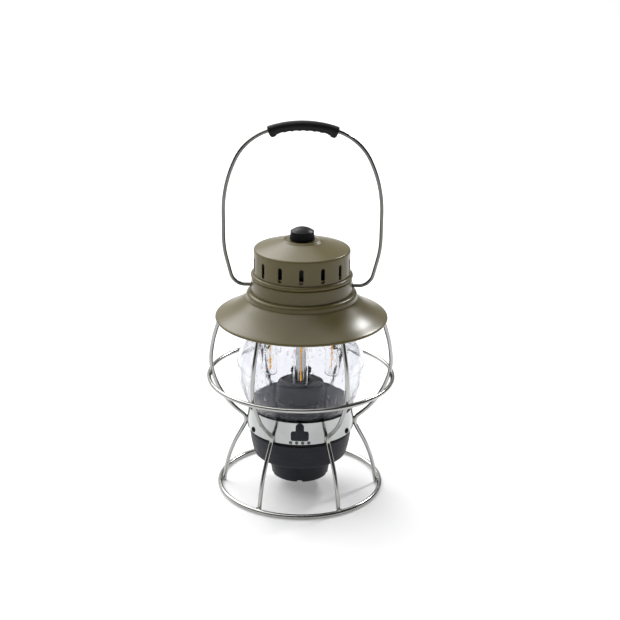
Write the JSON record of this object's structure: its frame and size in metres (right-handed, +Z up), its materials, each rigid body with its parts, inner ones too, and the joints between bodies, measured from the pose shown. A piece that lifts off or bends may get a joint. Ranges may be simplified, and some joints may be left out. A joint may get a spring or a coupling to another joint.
{
  "type": "camping lantern",
  "caption": "Cordless camping lantern: wire cage and base ring, glass globe with hanging filament lamps, slotted steel roof, dimmer knob, swinging bail and battery base.",
  "frame": {"origin": "on the ground at the lantern's axis, at the centre of the base ring", "axes": "+Z up along the lantern's axis, -Y towards the front with the charging port, X along the bail's pivots"},
  "size_m": [0.1844, 0.1844, 0.3683],
  "materials": {
    "olive_paint": "satin",
    "black_paint": "satin",
    "white_paint": "satin",
    "cage_wire": "satin plated",
    "band_steel": "polished",
    "zinc_steel": "plated",
    "tube_aluminium": "satin",
    "charcoal_plastic": "moulded",
    "black_plastic": "moulded",
    "knob_plastic": "semi-gloss",
    "grip_rubber": "matte",
    "seal_rubber": "smooth",
    "cover_silicone": "smooth",
    "light_lens": "clear green",
    "globe_glass": "clear with fine vertical seeds",
    "lamp_glass": "clear",
    "filament_amber": "phosphor",
    "board_green": "solder mask",
    "cell_wrap": "shrink sleeve",
    "cable_black": "jacket"
  },
  "bodies": {
    "lantern": {"roof_brim": "olive_paint", "roof_collar": "olive_paint", "vent_cap": "olive_paint", "vent_baffle": "black_paint", "band_screws": "black_paint", "bail_bushes": "black_paint", "lamp_plate": "white_paint", "base_ring": "cage_wire", "guard_ring": "cage_wire", "cage_top_ring": "cage_wire", "cage_rib_1": "cage_wire", "cage_rib_2": "cage_wire", "cage_rib_3": "cage_wire", "cage_rib_4": "cage_wire", "cage_rib_5": "cage_wire", "cage_rib_6": "cage_wire", "cage_band": "band_steel", "foot_screws": "zinc_steel", "base_screws": "zinc_steel", "dimmer_nut": "zinc_steel", "dimmer_washer": "zinc_steel", "battery_tabs": "zinc_steel", "usb_a_socket": "zinc_steel", "micro_usb_socket": "zinc_steel", "centre_tube": "tube_aluminium", "base_housing": "charcoal_plastic", "base_foot": "charcoal_plastic", "base_deck": "charcoal_plastic", "tube_collet": "black_plastic", "battery_cradle": "black_plastic", "lamp_holders": "black_plastic", "dimmer_body": "black_plastic", "base_seal": "seal_rubber", "globe_seal_lower": "seal_rubber", "globe_seal_upper": "seal_rubber", "port_cover_anchor": "cover_silicone", "light_pipes": "light_lens", "glass_globe": "globe_glass", "lamp_tube_1": "lamp_glass", "lamp_tube_2": "lamp_glass", "lamp_tube_3": "lamp_glass", "lamp_tube_4": "lamp_glass", "filament_1": "filament_amber", "filament_2": "filament_amber", "filament_3": "filament_amber", "filament_4": "filament_amber", "charge_board": "board_green", "port_board": "board_green", "dimmer_board": "board_green", "battery_cell_1": "cell_wrap", "battery_cell_2": "cell_wrap", "main_cable": "cable_black", "lamp_leads": "cable_black", "battery_leads": "cable_black"},
    "bail": {"bail_wire": "cage_wire", "bail_grip": "grip_rubber"},
    "knob": {"dimmer_knob": "knob_plastic", "dimmer_shaft": "zinc_steel"},
    "cover": {"port_cover": "cover_silicone"}
  },
  "joints": [
    {"name": "bail_swing", "type": "hinge", "parent": "lantern", "child": "bail", "pos_m": [0, 0, 0.2092], "axis": [1, 0, 0], "range_deg": [-120, 120]},
    {"name": "knob_turn", "type": "hinge", "parent": "lantern", "child": "knob", "pos_m": [0, 0, 0.255], "axis": [0, 0, -1], "range_deg": [0, 300]},
    {"name": "port_cover_open", "type": "hinge", "parent": "lantern", "child": "cover", "pos_m": [0, -0.0535, 0.069], "axis": [1, 0, 0], "range_deg": [0, 120]}
  ]
}
